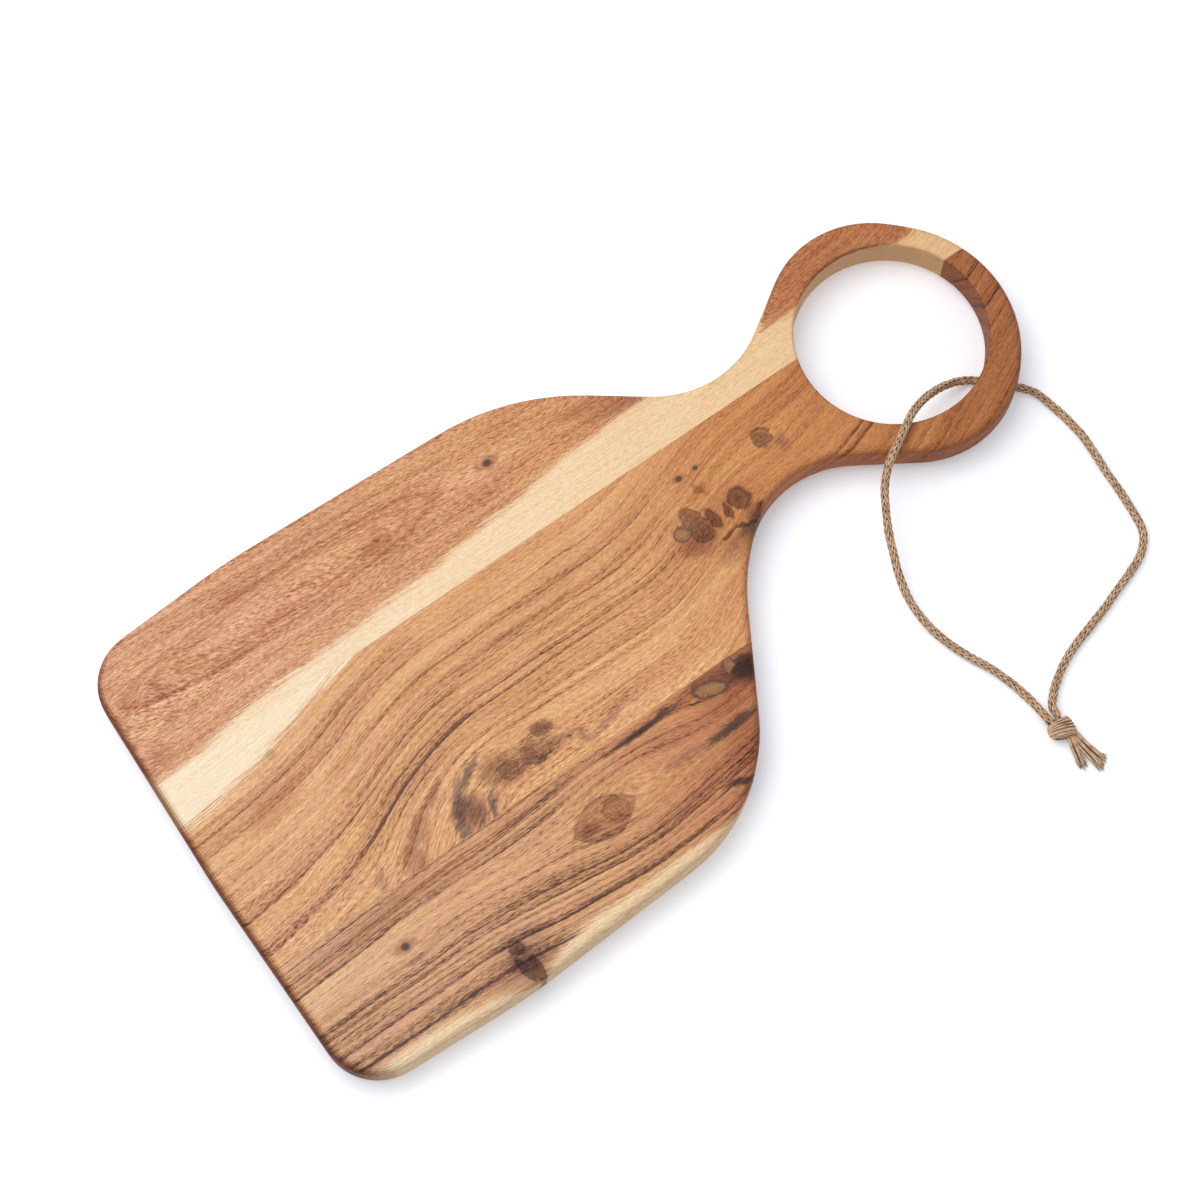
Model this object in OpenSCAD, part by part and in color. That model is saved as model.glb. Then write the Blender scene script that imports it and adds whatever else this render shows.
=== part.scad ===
// Paddle serving board: three hardwood staves glued edge to edge, shaped with a
// ring handle that sits to one side, and a jute hanging cord knotted through the ring.
// +X runs from the butt end to the ring, +Y towards the left stave, +Z up.
// The cord passes under the ring, so the board lies on its cord and its butt end.

/* [Board] */
// Overall length, from the butt end to the ring tip
board_len = 457; // [420:1:500]
// Width of the body at its widest
body_w = 239.5; // [225:0.5:260]
// Thickness of the glued-up staves
board_t = 18; // [14:0.5:22]
// Radius that softens the board's outside edges
edge_r = 4; // [2:0.25:5]
// Width of the left stave, from the widest point of the left side
left_stave_w = 71; // [55:0.5:80]
// Width of the centre stave
centre_stave_w = 98; // [85:0.5:110]

/* [Body outline] */
// Radius of the two butt corners
corner_r = 26; // [15:1:40]
// Angle by which the butt end is out of square
butt_skew = 1.3; // [0:0.1:3]
// Angle by which each half of the butt end falls back from its middle
butt_swell = 1.2; // [0.5:0.1:3]
// Radius that blends the two halves of the butt end
butt_r = 150; // [100:5:400]
// Distance from the butt end to the widest part of the body
widest_from_butt = 85; // [70:1:110]
// Angle at which each side draws in towards the butt end
butt_taper = 3.4; // [1:0.1:5]
// Angle at which each side draws in towards its shoulder
shoulder_taper = 2.3; // [1:0.1:4]
// Radius that blends each side at its widest part
side_r = 290; // [150:5:400]
// Radius of the left shoulder
left_shoulder_r = 119; // [80:1:130]
// Radius of the right shoulder
right_shoulder_r = 79; // [50:1:90]

/* [Handle] */
// Distance from the handle's axis to the left side of the body
handle_inset = 86.2; // [80:0.1:95]
// Width of the neck at its narrowest
neck_w = 60; // [50:0.5:68]
// Distance from the ring tip to the narrowest part of the neck
neck_from_tip = 136.3; // [130:0.1:145]
// Radius of the hollow on each side of the neck
neck_r = 50.5; // [40:0.5:56]
// Slope at which the neck runs out to the left shoulder
left_slope = 37; // [30:0.5:45]
// Slope at which the neck runs out to the right flank
right_slope = 44; // [38:0.5:48]
// Slope of the right flank, between the neck and the right shoulder
flank_slope = 58.7; // [54:0.1:64]
// Distance from the narrowest part of the neck to the bend in the right flank
flank_from_neck = 49; // [46:0.5:56]
// Radius that blends the bend in the right flank
flank_r = 98; // [60:1:110]
// Slope at which the neck opens out to the ring on both sides
ring_slope = 33; // [30:0.5:36]

/* [Ring] */
// Diameter of the hole
hole_d = 91; // [80:0.5:94]
// Radius that takes the sharpness off the hole's two rims
rim_r = 1.5; // [1:0.25:4]
// Wood left outside the hole on the ring's left front quarter
ring_left_wall = 11.7; // [10.5:0.1:15]
// Wood left outside the hole on the ring's right front quarter
ring_right_wall = 15.9; // [13.5:0.1:18]
// Radius of each cheek of the ring
ring_cheek_r = 49.5; // [44:0.5:50]
// Radius of the ring's tip
ring_tip_r = 62.5; // [56:0.5:63]

/* [Cord] */
// Diameter of the jute cord
cord_d = 4.5; // [3.5:0.1:5]
// Air left between the cord and the wood
cord_gap = 0.3; // [0.2:0.05:0.5]
// Width of the knot across the two strands
knot_w = 14.5; // [12:0.5:17]
// Height of the knot
knot_h = 9.5; // [8:0.5:12]
// Length of the knot along the cord
knot_len = 11.5; // [10:0.5:14]
// Turns of cord that show round the knot
knot_turns = 2.5; // [1:0.5:3]

/* [Hidden] */

// Wood colours of the staves, and the cord
left_wood = [0.70, 0.44, 0.29];
centre_wood = [0.66, 0.42, 0.25];
right_wood = [0.55, 0.34, 0.21];
jute = [0.66, 0.52, 0.36];

// Furthest that a flat facet may lie inside the arc that it stands for
facet_dev = 0.06;
// Flat facets in each quarter-round edge and rim
edge_steps = 5;
rim_steps = 4;
// Reach of a cutting block past the wood that it cuts
over = 5;
// Sides of the cord and of the knot, and the knot's rows along the cord
cord_sides = 10;
knot_sides = 20;
knot_rows = 16;
// Size of the knot's two faces against its middle, and depth of the hollow between its turns
knot_face = 0.68;
turn_depth = 0.09;

hole_r = hole_d / 2;
cord_r = cord_d / 2;

// Plan geometry, drawn about the centre of the hole. A line is a point and a heading.
function unit(v) = v / norm(v);
function heading(p, q) = atan2(q.y - p.y, q.x - p.x);
function wrap(a) = a - 360 * round(a / 360);
function outward(h) = [sin(h), -cos(h)];
function meet(l, m) =
    let (p = l[0], q = m[0], a = l[1], b = m[1],
         s = ((q.x - p.x) * sin(b) - (q.y - p.y) * cos(b)) / sin(b - a))
    p + s * [cos(a), sin(a)];
function corner(l, m, r) = let (p = meet(l, m)) [p.x, p.y, r];

// Lines that bound the ring, at 45 degrees to the handle's axis
ring_left = [(hole_r + ring_left_wall) * [cos(45), sin(45)], -45];
ring_right = [(hole_r + ring_right_wall) * [cos(45), -sin(45)], 45];
tip = corner(ring_right, ring_left, ring_tip_r);
tip_x = tip.x - ring_tip_r * (sqrt(2) - 1);

// Lines that leave the neck's hollow on one side, towards the body or, with a negative slope, the ring
neck_x = tip_x - neck_from_tip;
function neck_line(side, slope) =
    [[neck_x - neck_r * sin(slope), side * (neck_w / 2 + neck_r * (1 - cos(slope)))], -side * slope];

// Lines of the two sides, through the point where the body is widest
butt_x = tip_x - board_len;
widest_x = butt_x + widest_from_butt;
side_peak = side_r * (1 / cos((butt_taper + shoulder_taper) / 2) - 1);
left_y = handle_inset + side_peak;
right_y = handle_inset - body_w - side_peak;
left_side = [widest_x, left_y];
right_side = [widest_x, right_y];
left_near = [left_side, -shoulder_taper];
right_near = [right_side, shoulder_taper];

// Lines of the butt end, each side of its middle
butt_mid = [butt_x, (left_y + right_y) / 2];
butt_left = [butt_mid, 90 - butt_skew - butt_swell];
butt_right = [butt_mid, 90 - butt_skew + butt_swell];

// The right flank leaves the neck at one slope and steepens at its bend
flank_x = neck_x - flank_from_neck;
flank_bend = meet(neck_line(-1, right_slope), [[flank_x, 0], 90]);
flank_line = [flank_bend, flank_slope];

// Corners of the outline, anticlockwise from the middle of the butt end, each with its blend radius
corners = [
    [butt_mid.x, butt_mid.y, butt_r],
    corner(butt_right, [right_side, -butt_taper], corner_r),
    [right_side.x, right_side.y, side_r],
    corner(right_near, flank_line, right_shoulder_r),
    [flank_bend.x, flank_bend.y, flank_r],
    corner(neck_line(-1, right_slope), neck_line(-1, -ring_slope), neck_r),
    corner(neck_line(-1, -ring_slope), ring_right, ring_cheek_r),
    tip,
    corner(ring_left, neck_line(1, -ring_slope), ring_cheek_r),
    corner(neck_line(1, -ring_slope), neck_line(1, left_slope), neck_r),
    corner(neck_line(1, left_slope), left_near, left_shoulder_r),
    [left_side.x, left_side.y, side_r],
    corner([left_side, butt_taper], butt_left, corner_r),
];

// Blend at one corner: centre, radius (negative in a hollow), heading as it starts, and turn
function blend(i) =
    let (n = len(corners), c = corners[i],
         h = heading(corners[(i + n - 1) % n], c),
         turn = wrap(heading(c, corners[(i + 1) % n]) - h),
         r = sign(turn) * c[2],
         start = [c.x, c.y] - c[2] * tan(abs(turn) / 2) * [cos(h), sin(h)])
    [start - r * outward(h), r, h, turn];

// Points of the outline, drawn in by a distance all round
function outline(inset) = [
    for (i = [0 : len(corners) - 1])
        let (b = blend(i), steps = ceil(abs(b[3]) / (2 * acos(1 - facet_dev / abs(b[1])))))
        for (k = [0 : steps]) b[0] + (b[1] - inset) * outward(b[2] + b[3] * k / steps)
];

// Inset and height of each layer of the board, from the underside to the top
layers = [
    for (k = [edge_steps : -1 : 0]) let (a = 90 * k / edge_steps) edge_r * [1 - cos(a), 1 - sin(a)],
    for (k = [0 : edge_steps]) let (a = 90 * k / edge_steps)
        [edge_r * (1 - cos(a)), board_t - edge_r * (1 - sin(a))],
];

// Glue lines between the staves
left_glue_y = handle_inset - left_stave_w;
right_glue_y = left_glue_y - centre_stave_w;

// How the board lies: its butt edge is on the table and its ring on the cord
plan = outline(0);
butt_end = min([for (p = plan) p.x]);
ring_end = max([for (p = plan) p.x]);
cord_under = [33.5, -45];
pivot = [butt_end + edge_r, 0, edge_r];
tilt = asin((cord_d + cord_gap) / (cord_under.x - pivot.x));

// Middle of the laid board's box, which is the part's origin
low_x = pivot.x - edge_r - (board_t - 2 * edge_r) * sin(tilt);
high_x = pivot.x + (ring_end - edge_r - pivot.x) * cos(tilt) + edge_r;
mid = [(low_x + high_x) / 2, (min([for (p = plan) p.y]) + max([for (p = plan) p.y])) / 2, 0];

// The knot lies on the table beside the ring, with its faces square to Y
knot = [-51, -192.8, knot_h / 2];
knot_near_y = knot.y + knot_len / 2;
knot_far_y = knot.y - knot_len / 2;
strand_x = cord_r + 0.1;

// Route of the loop: from the knot along the table, over the ring, across the hole,
// under the ring and back along the table to the knot
loop_route = [
    [knot.x - strand_x, knot_near_y, knot.z], [knot.x - strand_x, -182, 4.3],
    [-53.5, -174, 3], [-55.5, -162, 2.25], [-58.5, -152, 2.25], [-62.5, -143, 2.25], [-66, -133.5, 2.5],
    [-68.5, -123.5, 3], [-69.5, -114, 4], [-69, -104, 5.5], [-66.5, -94, 7.5], [-63, -85, 10],
    [-59, -75.5, 13], [-54.5, -67, 16.5], [-49.5, -59, 20.5], [-43.5, -53, 23.5], [-37.5, -49, 24.8],
    [-30, -45, 25.1], [-22.8, -40.7, 24.9], [-14.8, -36.6, 22], [-5.2, -33.6, 17], [6, -31.9, 10.7],
    [15.4, -32.2, 5.3], [22, -34.5, 2.8], [27.5, -39, 2.25], [cord_under.x, cord_under.y, 2.25],
    [39, -51, 2.25], [43.5, -57.5, 2.25], [45.5, -66.5, 2.25], [47, -76.5, 2.25], [47.5, -87, 2.25],
    [46.5, -97.5, 2.25], [45, -108.5, 2.25], [44, -119.5, 2.25], [42.5, -130, 2.25], [40, -140.5, 2.25],
    [33, -148, 2.25], [23, -152.5, 2.25], [12, -156, 2.25], [1.5, -159.5, 2.25], [-9, -162.5, 2.25],
    [-20, -165.5, 2.25], [-30, -169.5, 2.25], [-39.5, -175, 2.5], [-45, -179.5, 3.3],
    [-47.5, -182, 4.1], [knot.x + strand_x, -185, 4.7], [knot.x + strand_x, knot_near_y, knot.z],
];

// Routes of the two tails, from the knot's far face to their cut ends
tail_routes = [
    [[knot.x - strand_x, knot_far_y, knot.z], [knot.x - strand_x, -202, 4.3],
     [-54, -207, 3.1], [-54.5, -211.5, 2.3]],
    [[knot.x + strand_x, knot_far_y, knot.z], [knot.x + strand_x, -202.5, 4.2],
     [-47, -209, 3], [-45, -216, 2.3]],
];

// Closed solid through a list of rings that all have the same number of points
module loft(rings) {
    last = len(rings) - 1;
    sides = len(rings[0]);
    skin = [
        for (i = [0 : last - 1], k = [0 : sides - 1])
            let (a = i * sides + k, b = i * sides + (k + 1) % sides)
            each [[a, b, b + sides], [a, b + sides, a + sides]]
    ];
    near = [for (k = [sides - 1 : -1 : 0]) k];
    far = [for (k = [0 : sides - 1]) last * sides + k];
    polyhedron([for (ring = rings) each ring], concat(skin, [near, far]));
}

// Round cord along a route, with its rings set square to it
module cord(route) {
    last = len(route) - 1;
    loft([
        for (i = [0 : last])
            let (t = unit(route[min(i + 1, last)] - route[max(i - 1, 0)]),
                 s = unit(cross(t, [0, 0, 1])),
                 u = cross(s, t))
            [for (k = [0 : cord_sides - 1])
                let (a = 360 * (k + 0.5) / cord_sides) route[i] + cord_r * (cos(a) * s + sin(a) * u)]
    ]);
}

// Hub of the fan that fills a face beside one outline point: 0 in the body, 1 in the ring
function hub(i) = plan[i].x < neck_x ? 0 : 1;

// Fills one face of the blank, whose outline starts at one point and whose hubs start at another
function fan(first, hubs) =
    let (n = len(plan))
    [
        for (i = [0 : n - 1])
            let (j = (i + 1) % n)
            each concat(
                [[first + i, first + j, hubs + hub(i)]],
                hub(i) == hub(j) ? [] : [[first + j, hubs + hub(j), hubs + hub(i)]]
            )
    ];

// The glued-up board before it is split into staves: the outline stacked in layers, all edges softened
module blank() {
    n = len(plan);
    top = len(layers) - 1;
    rims = [for (l = layers, p = outline(l[0])) [p.x, p.y, l[1]]];
    hubs = [for (z = [0, board_t], x = [widest_x, 0]) [x, 0, z]];
    skin = [
        for (j = [0 : top - 1], i = [0 : n - 1])
            let (a = j * n + i, b = j * n + (i + 1) % n)
            [a, a + n, b + n, b]
    ];
    under = fan(0, len(rims));
    upper = [for (f = fan(top * n, len(rims) + 2)) [f[1], f[0], f[2]]];
    polyhedron(concat(rims, hubs), concat(skin, under, upper));
}

// What is cut away for the hole, leaving a softened edge on both faces
module ring_hole() {
    flare = [
        for (k = [0 : rim_steps])
            let (a = 90 * k / rim_steps) [hole_r + rim_r * (1 - cos(a)), rim_r * (1 - sin(a))]
    ];
    past = 3 * flare[rim_steps] - 2 * flare[rim_steps - 1];
    half = concat(flare, [past, [past.x, -over], [0, -over]]);
    upper = [for (i = [len(half) - 1 : -1 : 0]) [half[i].x, board_t - half[i].y]];
    rotate_extrude($fn = 96) polygon(concat(half, upper));
}

// Moves what is drawn about the hole to the part's origin
module to_origin() {
    translate(-mid) children();
}

// Lays the board on the table and the cord
module lay_down() {
    to_origin() translate(pivot) rotate([0, -tilt, 0]) translate(-pivot) children();
}

// One stave, between two glue lines or past the edge of the board
module stave(low_y, high_y) {
    lay_down()
        intersection() {
            difference() {
                blank();
                ring_hole();
            }
            translate([butt_end - over, low_y, -over])
                cube([ring_end - butt_end + 2 * over, high_y - low_y, board_t + 2 * over]);
        }
}

module stave_left() {
    color(left_wood) stave(left_glue_y, left_y + over);
}

module stave_centre() {
    color(centre_wood) stave(right_glue_y, left_glue_y);
}

module stave_right() {
    color(right_wood) stave(right_y - over, right_glue_y);
}

// The free cord, from the knot through the ring and back
module cord_loop() {
    color(jute) to_origin() cord(loop_route);
}

// Both strands drawn together, with the turns of cord that hold them
module cord_knot() {
    color(jute)
        to_origin()
            loft([
                for (j = [0 : knot_rows])
                    let (along = j / knot_rows,
                         bulge = knot_face + (1 - knot_face) * sin(180 * along),
                         depth = turn_depth * sin(180 * along))
                    [for (k = [0 : knot_sides - 1])
                        let (a = -360 * k / knot_sides,
                             full = (bulge - depth * (1 - cos(360 * knot_turns * along - a))) / 2)
                        knot + [full * knot_w * cos(a), knot_len * (0.5 - along), full * knot_h * sin(a)]]
            ]);
}

// The two ends left below the knot
module cord_tails() {
    color(jute) to_origin() for (route = tail_routes) cord(route);
}

stave_left();
stave_centre();
stave_right();
cord_loop();
cord_knot();
cord_tails();
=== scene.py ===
# Paddle serving board of three glued acacia staves, with a ring handle and a knotted jute cord.
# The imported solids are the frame: +X runs from the butt end to the ring, +Z is up, in metres.
import math

import bpy
import numpy as np
from mathutils import Matrix, Vector


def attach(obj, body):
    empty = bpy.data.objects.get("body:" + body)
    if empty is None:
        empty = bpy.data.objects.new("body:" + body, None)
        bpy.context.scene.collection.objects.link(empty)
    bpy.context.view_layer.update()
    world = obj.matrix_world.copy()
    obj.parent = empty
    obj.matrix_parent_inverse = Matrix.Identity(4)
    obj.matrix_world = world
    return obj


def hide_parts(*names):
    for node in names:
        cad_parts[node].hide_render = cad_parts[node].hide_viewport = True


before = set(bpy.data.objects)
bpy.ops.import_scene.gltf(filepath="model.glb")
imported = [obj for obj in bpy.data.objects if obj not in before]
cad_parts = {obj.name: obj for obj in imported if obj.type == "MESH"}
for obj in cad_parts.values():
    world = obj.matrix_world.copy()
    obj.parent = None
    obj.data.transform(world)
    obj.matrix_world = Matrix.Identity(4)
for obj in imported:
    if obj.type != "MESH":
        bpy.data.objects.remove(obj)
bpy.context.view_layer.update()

# Staves
# Acacia is planed, edge-glued, cut to the paddle's outline, routed round, sanded and oiled.
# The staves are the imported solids; each has its own figure, so each gets its own piece of wood below.


def linear(code):
    """sRGB hex to the linear colour that a shader takes."""
    parts = [int(code[i : i + 2], 16) / 255 for i in (1, 3, 5)]
    return [c / 12.92 if c <= 0.04045 else ((c + 0.055) / 1.055) ** 2.4 for c in parts] + [1.0]


def add(tree, kind, links=(), stops=(), **settings):
    """Add a node: links gives its inputs, by name or in order, as values, nodes or outputs, and stops the
    points of its curve or the colours of its ramp."""
    made = tree.nodes.new("ShaderNode" + kind)
    for key, value in settings.items():
        setattr(made, key, value)
    for key, value in links.items() if isinstance(links, dict) else enumerate(links):
        if isinstance(value, bpy.types.Node):
            value = value.outputs[0]
        if isinstance(value, bpy.types.NodeSocket):
            tree.links.new(value, made.inputs[key])
        else:
            made.inputs[key].default_value = value
    for i, (spot, value) in enumerate(stops):
        if kind == "ValToRGB":
            stop = made.color_ramp.elements[i] if i < 2 else made.color_ramp.elements.new(1)
            stop.position, stop.color = spot, value
        else:
            bends = made.mapping.curves[0].points
            bend = bends[i] if i < 2 else bends.new(spot, value)
            bend.location = (spot, value)
    if kind == "FloatCurve":
        made.mapping.extend = "HORIZONTAL"
        made.mapping.update()
    return made


# How one colour goes over another: it covers it or dyes it
COVER = {"data_type": "RGBA"}
DYE = {"data_type": "RGBA", "blend_type": "MULTIPLY"}

REACH = 240  # mm along the board from its middle to just past either end
TOP, RISE = 20.5, 0.0112  # upper face: mm above the table at the middle, and its rise along the board
DRIFT_SPAN, SAP_SPAN = 240, 280  # mm across the board that the whole height of a curve stands for
TAPER = 14  # mm over which a growth line comes and goes, to either side of its end
EDGE = 0.75  # share of a mark's colour ramp that reaches from its middle to its edge


def part_way(x):
    """Place along the board, in mm from its middle, as a share of a curve's length."""
    return (x + REACH) / (2 * REACH)


# What a knot, a patch of bark or a stain looks like from its middle outwards: distance (1 is its
# edge), colour, and how much it covers there. Most of them dye the wood; bark, halos and pin knots hide it.
MARKS = {
    "shade": ("MULTIPLY", [(0, "#CBC6D8", 0.9), (0.55, "#CBC6D8", 0.6), (1, "#CBC6D8", 0)]),
    "blush": ("MULTIPLY", [(0, "#DCC2BC", 0.6), (0.6, "#DCC2BC", 0.4), (1, "#DCC2BC", 0)]),
    "flame": (
        "MULTIPLY",
        [
            (0, "#E8D2CA", 0.2),
            (0.5, "#E8D2CA", 0.1),
            (0.62, "#D6B4A8", 0.7),
            (0.68, "#E8D2CA", 0.15),
            (0.78, "#D6B4A8", 0.7),
            (0.83, "#E8D2CA", 0.1),
            (0.94, "#D0AA9C", 0.75),
            (1.02, "#E8D2CA", 0),
        ],
    ),
    "burl": (
        "MULTIPLY",
        [(0, "#BAACB2", 0.9), (0.55, "#BEB0B4", 0.85), (0.85, "#C8BCBE", 0.6), (1.2, "#D6CCCC", 0)],
    ),
    "smoke": ("MULTIPLY", [(0, "#8491B0", 0.9), (0.5, "#929BB4", 0.75), (1, "#B0B0BE", 0)]),
    "mauve": ("MULTIPLY", [(0, "#C0AEB2", 0.9), (0.6, "#C6B4B6", 0.75), (1, "#D8CCCC", 0)]),
    "knot": (
        "MULTIPLY",
        [
            (0, "#7C768A", 0.9),
            (0.2, "#A89CA4", 0.85),
            (0.36, "#B6AAB0", 0.8),
            (0.48, "#848092", 0.85),
            (0.6, "#AEA2AA", 0.8),
            (0.76, "#BAAEB4", 0.75),
            (0.9, "#7E788C", 0.85),
            (1.2, "#D0C8CC", 0),
        ],
    ),
    "swirl": (
        "MULTIPLY",
        [
            (0, "#A69A9C", 0.75),
            (0.22, "#D6CACA", 0.5),
            (0.38, "#AA9EA0", 0.75),
            (0.54, "#D6CACA", 0.45),
            (0.68, "#AEA2A2", 0.7),
            (0.82, "#D6CACA", 0.4),
            (0.95, "#A2969A", 0.7),
            (1.15, "#D6CACA", 0),
        ],
    ),
    "eye": (
        "MULTIPLY",
        [
            (0, "#D6C4C2", 0.8),
            (0.6, "#D6C4C2", 0.8),
            (0.82, "#C8B4B4", 0.8),
            (0.93, "#A8969A", 0.8),
            (1.0, "#C8B8B8", 0.4),
            (1.15, "#E0D4D4", 0),
        ],
    ),
    "dark knot": (
        "MULTIPLY",
        [
            (0, "#706674", 0.95),
            (0.3, "#92848A", 0.9),
            (0.62, "#AA9A94", 0.85),
            (0.84, "#7A6E74", 0.9),
            (1.2, "#C6B8B2", 0),
        ],
    ),
    "stain": ("MULTIPLY", [(0, "#585C78", 0.95), (0.5, "#6C7090", 0.85), (1, "#9898A8", 0)]),
    "bark": (
        "MIX",
        [
            (0, "#AA784E", 0.9),
            (0.66, "#9E6E48", 0.9),
            (0.84, "#64463A", 0.85),
            (0.95, "#5E4236", 0.7),
            (1.15, "#7A5240", 0),
        ],
    ),
    "halo": ("MIX", [(0, "#A2684A", 0.85), (0.55, "#AA7050", 0.6), (1, "#B67C54", 0)]),
    "pin knot": ("MIX", [(0, "#4E382E", 0.95), (0.6, "#5E4236", 0.9), (1, "#8A5C44", 0)]),
}


def oiled_acacia(name, heart, sap, ink, fibre, shade, drift, lean, knots, lines, sap_edges, marks):
    """Oiled acacia of one stave: an open-pored hardwood, rubbed satin, that shows the eye long growth layers
    of warm brown, cream sapwood and dark knots. The layers follow psi, the distance across the grain.

    heart, sap    tones from dark to light, and ink the tone of pores and curls
    fibre         length in mm and strength of the fibres, and cover of the pores
    shade         tint of the heartwood along the board, partly its own tone and partly painted fall-off of the light
    drift, lean   mm that the layers drift across the board, and how far they lean with depth
    knots         x, y, radius in mm, stretch and core of what pushes the layers aside
    lines         where a group of growth lines begins and ends, with the place, width and depth of each
    sap_edges     side of the sapwood, its slope with depth, and its bound across the board
    marks         kind, x, y, half length and half width in mm, and angle
    """
    wood = bpy.data.materials.new(name)
    wood.use_nodes = True
    tree = wood.node_tree
    shader = tree.nodes["Principled BSDF"]
    place = add(tree, "TexCoord").outputs["Object"]
    place = add(tree, "VectorMath", {0: place, "Scale": 1000}, operation="SCALE")  # in mm
    along = add(tree, "VectorMath", [place, (1, 0, 0)], operation="DOT_PRODUCT").outputs["Value"]
    share = add(tree, "MapRange", [along, -REACH, REACH, 0, 1])
    depth = add(tree, "VectorMath", [place, (-RISE, 0, 1)], operation="DOT_PRODUCT").outputs["Value"]
    depth = add(tree, "Math", [depth, TOP], operation="SUBTRACT")

    # Everything is drawn on a slightly wandering place, so that no edge is a clean curve
    slow = add(tree, "VectorMath", [place, (1 / 60, 1 / 18, 1 / 30)], operation="MULTIPLY")
    wander = add(tree, "TexNoise", {"Vector": slow, "Scale": 1, "Detail": 3, "Roughness": 0.55})
    shift = add(tree, "VectorMath", [wander.outputs["Color"], (0.5, 0.5, 0.5)], operation="SUBTRACT")
    shift = add(tree, "VectorMath", [shift, (10, 4, 0), place], operation="MULTIPLY_ADD")
    quick = add(tree, "VectorMath", [place, (1 / 6, 1 / 4.5, 1 / 9)], operation="MULTIPLY")
    quiver = add(tree, "TexNoise", {"Vector": quick, "Scale": 1, "Detail": 3, "Roughness": 0.6})
    rough = add(tree, "VectorMath", [quiver.outputs["Color"], (0.5, 0.5, 0.5)], operation="SUBTRACT")
    rough = add(tree, "VectorMath", [rough, (5.5, 4.5, 0), place], operation="MULTIPLY_ADD")
    curl = add(tree, "Math", [quiver.outputs[0], 0.5], operation="SUBTRACT")
    curl = add(tree, "Math", [curl], operation="ABSOLUTE")
    curl = add(tree, "MapRange", [curl, 0, 0.03, 0.6, 0])

    # Distance across the grain: the layers' drift along the stave, their lean, and the push of the knots
    curves = []
    for points, span in [(drift, DRIFT_SPAN)] + [(bound, SAP_SPAN) for _, _, bound in sap_edges]:
        bends = [(part_way(x), y / span + 0.5) for x, y in points]
        curve = add(tree, "FloatCurve", {"Value": share}, bends)
        curves.append(add(tree, "Math", [curve, span, -span / 2], operation="MULTIPLY_ADD"))
    across = add(tree, "VectorMath", [shift, (0, 1, 0)], operation="DOT_PRODUCT").outputs["Value"]
    leant = add(tree, "Math", [depth, lean, across], operation="MULTIPLY_ADD")
    psi = add(tree, "Math", [leant, curves[0]], operation="SUBTRACT")
    for x, y, radius, stretch, core in knots:
        middle = (-x / stretch, -y, 0)
        away = add(tree, "VectorMath", [shift, (1 / stretch, 1, 0), middle], operation="MULTIPLY_ADD")
        far = add(tree, "VectorMath", [away, away], operation="DOT_PRODUCT").outputs["Value"]
        side = add(tree, "VectorMath", [away, (0, 1, 0)], operation="DOT_PRODUCT").outputs["Value"]
        spread = add(tree, "Math", [far, core * radius**2], operation="ADD")
        pull = add(tree, "Math", [side, spread], operation="DIVIDE")
        psi = add(tree, "Math", [pull, -(radius**2), psi], operation="MULTIPLY_ADD")
    # Fibres lie a little aslant to the layers
    slant = add(tree, "Math", [psi, 2.7, along], operation="MULTIPLY_ADD")
    grain = add(tree, "CombineXYZ", [slant, psi, depth])

    # Lightness of the heartwood: bands, rings, streaks of fibre and flecks across the grain, each with its
    # length, width and depth in mm. Fibres and pores are drawn at half a millimetre, where real ones are
    # some hundredths to 0.3, so that they show.
    light = 0.56
    layers = {}
    for part, size, detail, amount in (
        ("band", (200, 11, 40), 3, 0.75),
        ("ring", (300, 2.0, 14), 3, 0.85),
        ("thread", (35, 0.6, 4), 2, 0.9),
        ("fibre", (fibre[0], 0.36, 1.4), 1, fibre[1]),
        ("fleck", (14, 6, 8), 2, 0.3),
        ("pore", (1.3 * fibre[0], 0.42, 1.4), 0, 0),
        ("fade", (60, 6, 30), 2, 0),
    ):
        fit = add(tree, "VectorMath", [grain, [1 / s for s in size]], operation="MULTIPLY")
        layers[part] = add(tree, "TexNoise", {"Vector": fit, "Scale": 1, "Detail": detail, "Roughness": 0.62})
        if amount:
            less = add(tree, "Math", [layers[part], 0.5], operation="SUBTRACT")
            light = add(tree, "Math", [less, amount, light], operation="MULTIPLY_ADD")

    # Growth lines that stand out from one place on the stave to another: dark on one side, fading on the
    # other. A line's profile is given in widths from its dark side, and in shares of its depth.
    widths, depths = np.array([-0.15, 0, 0.25, 0.6, 1.4]), np.array([0, 0.84, 0.5, 0.26, 0])
    seen = add(tree, "MapRange", [layers["fade"], 0.3, 0.56, 0.6, 1])
    ragged = add(tree, "Math", [layers["thread"], 0.5], operation="SUBTRACT")
    ragged = add(tree, "Math", [ragged, 0.6, psi], operation="MULTIPLY_ADD")
    for begin, finish, group in lines:
        shapes = []
        for spot, width, strength in group:
            shape = [spot + width * widths, strength * depths]
            shapes.append(shape if width > 0 else [v[::-1] for v in shape])
        spots = np.unique(np.concatenate([at for at, _ in shapes]))
        levels = np.max([np.interp(spots, *shape) for shape in shapes], axis=0)
        low, high = float(spots[0]), float(spots[-1])
        lying = add(tree, "MapRange", [ragged, low, high, 0, 1])
        bends = zip(((spots - low) / (high - low)).tolist(), levels.tolist())
        dark = add(tree, "FloatCurve", {"Value": lying}, bends)
        for bend in dark.mapping.curves[0].points:
            bend.handle_type = "VECTOR"
        dark.mapping.update()
        ends = [(begin - TAPER, 0), (begin + TAPER, 1), (finish - TAPER, 1), (finish + TAPER, 0)]
        gate = add(tree, "FloatCurve", {"Value": share}, [(part_way(x), y) for x, y in ends])
        gate = add(tree, "Math", [gate, seen], operation="MULTIPLY")
        dark = add(tree, "Math", [dark, gate], operation="MULTIPLY")
        light = add(tree, "Math", [light, dark], operation="SUBTRACT")
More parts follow.
